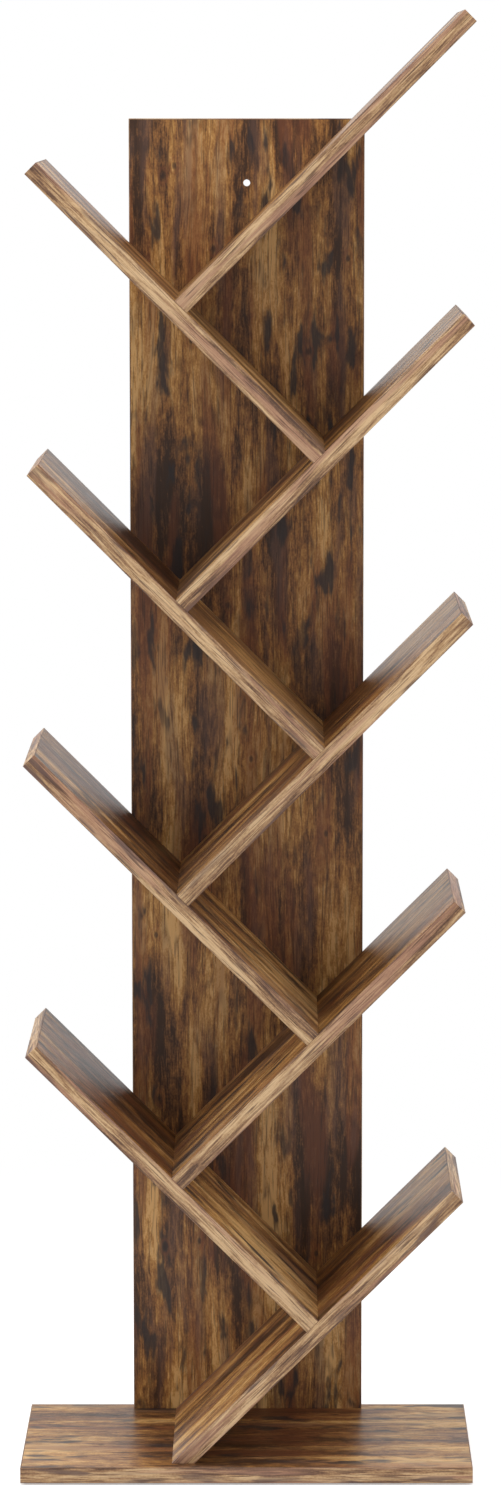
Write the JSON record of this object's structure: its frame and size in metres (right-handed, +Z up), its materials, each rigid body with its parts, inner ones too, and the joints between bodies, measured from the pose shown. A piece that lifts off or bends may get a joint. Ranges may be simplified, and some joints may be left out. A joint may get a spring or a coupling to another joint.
{
  "type": "tree shaped bookshelf",
  "caption": "Free-standing bookshelf shaped like a tree: a flat trunk board on a base, with slanting branch boards to both sides that hold books in open V-shaped bays.",
  "frame": {"origin": "on the floor, under the middle of the base, where the glides stand", "axes": "+Z up along the trunk, +X to the right seen from the front, +Y from the front towards the wall"},
  "size_m": [0.45, 0.225, 1.4509],
  "materials": {
    "rustic_board": "satin laminate printed as reclaimed brown wood, grain along each board",
    "rustic_band": "satin edge band of the same decor, lighter and streaked along its length",
    "zinc_screw": "bright zinc plate",
    "beech_dowel": "raw ribbed beech",
    "felt_glide": "matt dark pad"
  },
  "bodies": {
    "root": {"base_board": "rustic_board", "base_edge_band": "rustic_band", "trunk_board": "rustic_board", "trunk_edge_band": "rustic_band", "branch_right_1": "rustic_board", "branch_right_2": "rustic_board", "branch_right_3": "rustic_board", "branch_right_4": "rustic_board", "branch_right_5": "rustic_board", "branch_left_1": "rustic_board", "branch_left_2": "rustic_board", "branch_left_3": "rustic_board", "branch_left_4": "rustic_board", "edge_band_right_1": "rustic_band", "edge_band_right_2": "rustic_band", "edge_band_right_3": "rustic_band", "edge_band_right_4": "rustic_band", "edge_band_right_5": "rustic_band", "edge_band_left_1": "rustic_band", "edge_band_left_2": "rustic_band", "edge_band_left_3": "rustic_band", "edge_band_left_4": "rustic_band", "trunk_screw_right_1_inner": "zinc_screw", "trunk_screw_right_1_outer": "zinc_screw", "trunk_screw_right_2_inner": "zinc_screw", "trunk_screw_right_2_outer": "zinc_screw", "trunk_screw_right_3_inner": "zinc_screw", "trunk_screw_right_3_outer": "zinc_screw", "trunk_screw_right_4_inner": "zinc_screw", "trunk_screw_right_4_outer": "zinc_screw", "trunk_screw_right_5_inner": "zinc_screw", "trunk_screw_right_5_outer": "zinc_screw", "trunk_screw_left_1_inner": "zinc_screw", "trunk_screw_left_1_outer": "zinc_screw", "trunk_screw_left_2_inner": "zinc_screw", "trunk_screw_left_2_outer": "zinc_screw", "trunk_screw_left_3_inner": "zinc_screw", "trunk_screw_left_3_outer": "zinc_screw", "trunk_screw_left_4_inner": "zinc_screw", "trunk_screw_left_4_outer": "zinc_screw", "end_screw_left_1": "zinc_screw", "end_screw_left_2": "zinc_screw", "end_screw_left_3": "zinc_screw", "end_screw_left_4": "zinc_screw", "end_screw_right_2": "zinc_screw", "end_screw_right_3": "zinc_screw", "end_screw_right_4": "zinc_screw", "end_screw_right_5": "zinc_screw", "base_screw_left": "zinc_screw", "base_screw_middle": "zinc_screw", "base_screw_right": "zinc_screw", "trunk_dowel_left": "beech_dowel", "trunk_dowel_right": "beech_dowel", "foot_dowel_front": "beech_dowel", "foot_dowel_rear": "beech_dowel", "glide_front_left": "felt_glide", "glide_front_right": "felt_glide", "glide_rear_left": "felt_glide", "glide_rear_right": "felt_glide"}
  },
  "joints": []
}
